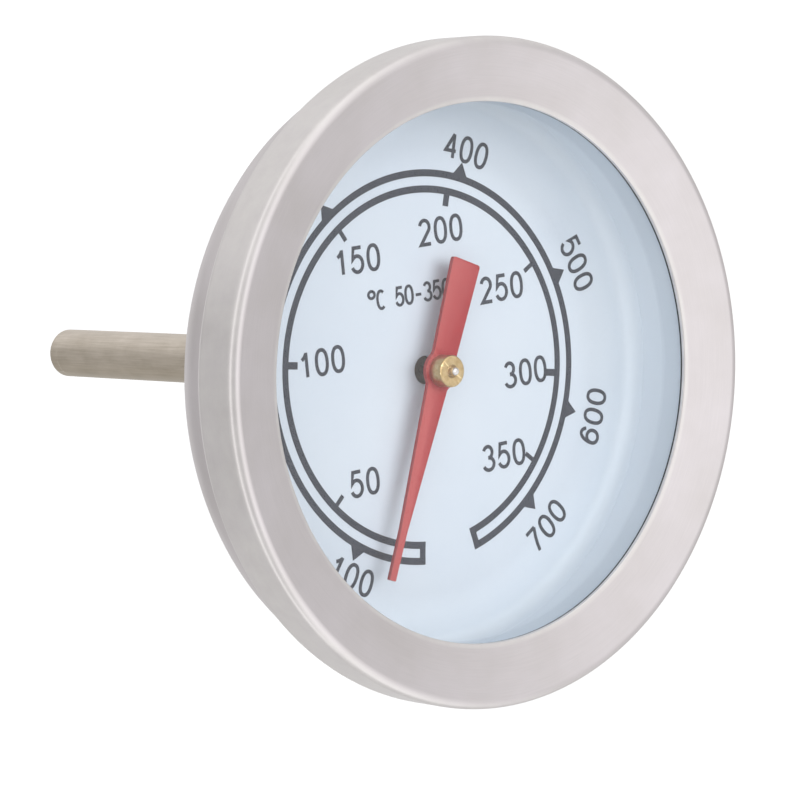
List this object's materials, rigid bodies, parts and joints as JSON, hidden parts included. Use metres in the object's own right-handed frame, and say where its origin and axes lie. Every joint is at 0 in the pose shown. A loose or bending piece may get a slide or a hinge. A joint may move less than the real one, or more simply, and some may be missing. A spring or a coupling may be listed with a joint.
{
  "type": "dial oven thermometer",
  "caption": "Round dial oven thermometer: crimped steel case with a flat glass window, red pointer, and a rear stem with a threaded panel bushing.",
  "frame": {"origin": "on the stem axis, at the flat back face of the case, where the oven panel bears", "axes": "+Y along the stem, away from the dial; the dial faces -Y; +Z towards the top of the dial; +X to the right seen from the front"},
  "size_m": [0.0602, 0.0667, 0.0602],
  "materials": {
    "satin_steel": "fine satin, brushed round the ring",
    "gasket_silicone": "matte black silicone",
    "lens_glass": "clear polished flat glass",
    "dial_enamel": "pale blue-white semi-matte paint with dark grey print",
    "turned_steel": "turned, fine lathe lines",
    "stem_steel": "drawn tube, lightly brushed, warm tint",
    "guide_brass": "turned brass",
    "spindle_steel": "ground wire",
    "bimetal": "rolled strip, slightly heat tinted",
    "pointer_red": "red semi-matte paint on thin sheet",
    "bush_brass": "turned brass, satin",
    "plated_steel": "bright zinc plate"
  },
  "bodies": {
    "housing": {"bezel_ring": "satin_steel", "case_back": "satin_steel", "lens_gasket": "gasket_silicone", "glass_lens": "lens_glass", "spacer_ring": "dial_enamel", "dial_plate": "dial_enamel", "stem_bushing": "turned_steel", "stem_tube": "stem_steel", "stem_end_plug": "stem_steel", "upper_guide_bush": "guide_brass", "lower_guide_bush": "guide_brass", "bimetal_coil": "bimetal", "coil_anchor": "spindle_steel"},
    "pointer_assembly": {"pointer": "pointer_red", "pointer_bush": "bush_brass", "spindle": "spindle_steel", "coil_collar": "guide_brass"},
    "washers": {"panel_washer": "plated_steel", "lock_washer": "plated_steel"},
    "nut": {"mounting_nut": "plated_steel"}
  },
  "joints": [
    {"name": "pointer_turn", "type": "hinge", "parent": "housing", "child": "pointer_assembly", "pos_m": [0, -0.005, 0], "axis": [0, 1, 0], "range_deg": [-17, 323], "stiffness_Nm_per_rad": 0.0001},
    {"name": "washer_slide", "type": "slide", "parent": "housing", "child": "washers", "axis": [0, 1, 0], "range_m": [-0.0015, 0.0035]},
    {"name": "nut_turn", "type": "hinge", "parent": "washers", "child": "nut", "pos_m": [0, 0.008, 0], "axis": [0, 1, 0], "range_deg": [-430, 1006]}
  ],
  "couplings": [
    {"joint": "washer_slide", "follows": "nut_turn", "m_per_rad": 0.00019894}
  ]
}
